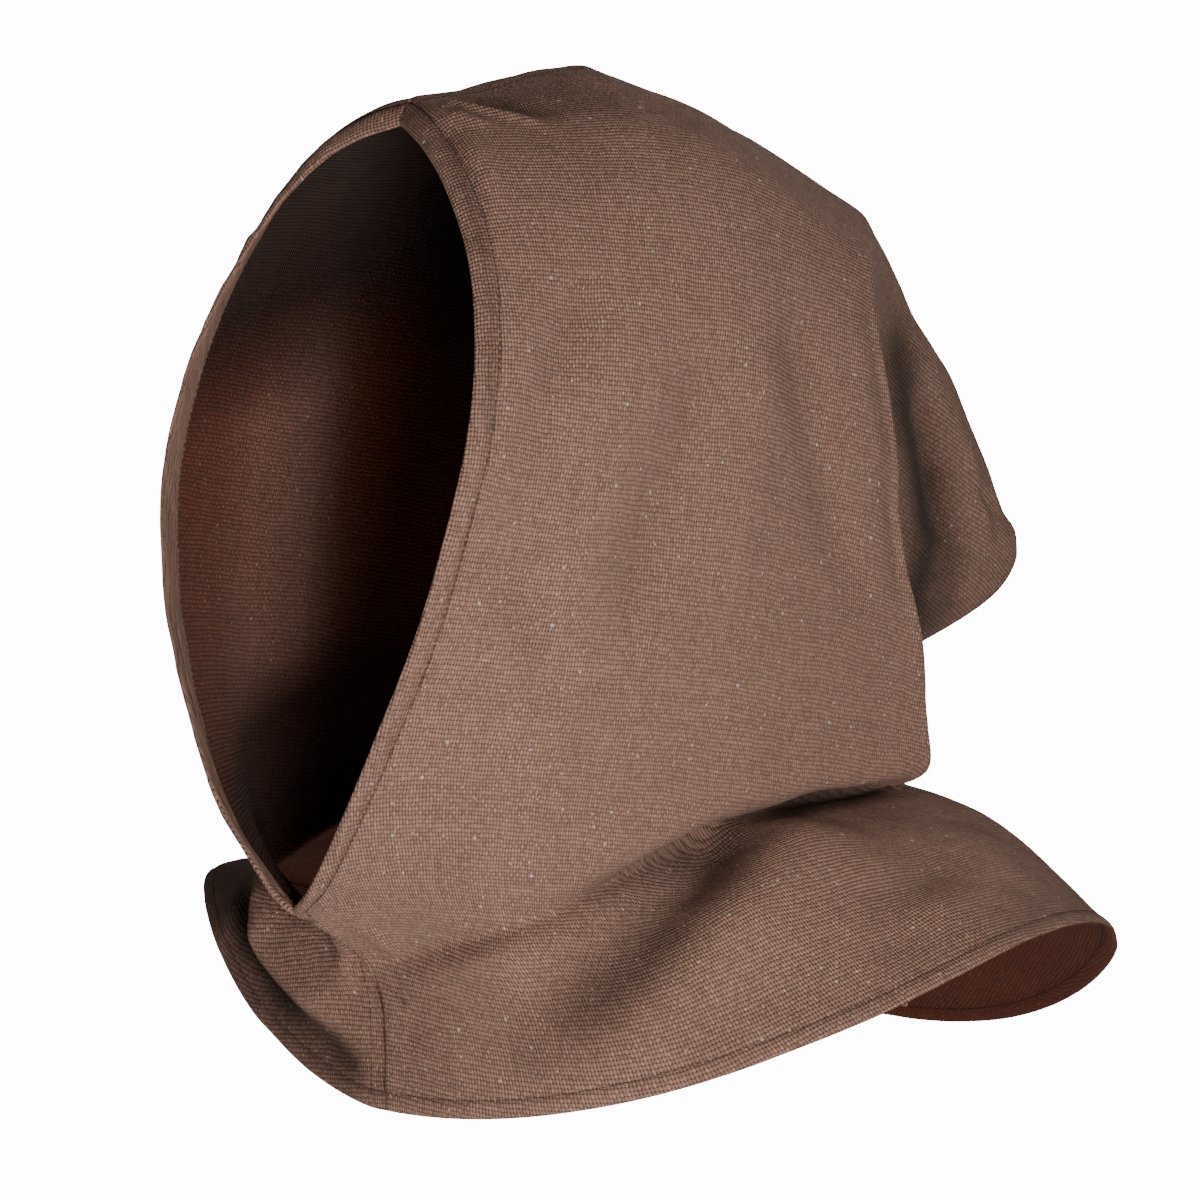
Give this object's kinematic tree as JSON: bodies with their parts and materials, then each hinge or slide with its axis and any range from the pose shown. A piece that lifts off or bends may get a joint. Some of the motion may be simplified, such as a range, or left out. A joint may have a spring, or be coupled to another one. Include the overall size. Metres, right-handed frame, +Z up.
{
  "type": "canvas hood",
  "caption": "Pull-on canvas hood with a pear-shaped face opening, a long soft point at the back and a short shoulder cape.",
  "frame": {"origin": "top of the crown's inside, where the hood sits on the head", "axes": "+Z up, the face opening looks toward -Y, the wearer's left is +X, the point hangs toward +Y"},
  "size_m": [0.4126, 0.4344, 0.4439],
  "materials": {
    "canvas": "matt plain-woven cotton canvas, heathered brown with pale neps",
    "hem": "the same canvas folded under and stitched, slightly puckered",
    "seam": "the same canvas, felled seam with a dark topstitch"
  },
  "bodies": {
    "root": {"left_crown": "canvas", "left_side": "canvas", "left_nape": "canvas", "left_point": "canvas", "left_front_cape": "canvas", "left_back_cape": "canvas", "right_crown": "canvas", "right_side": "canvas", "right_nape": "canvas", "right_point": "canvas", "right_front_cape": "canvas", "right_back_cape": "canvas", "face_hem": "hem", "cape_hem": "hem", "throat_seam": "seam", "crown_seam": "seam", "back_seam": "seam"}
  },
  "joints": []
}
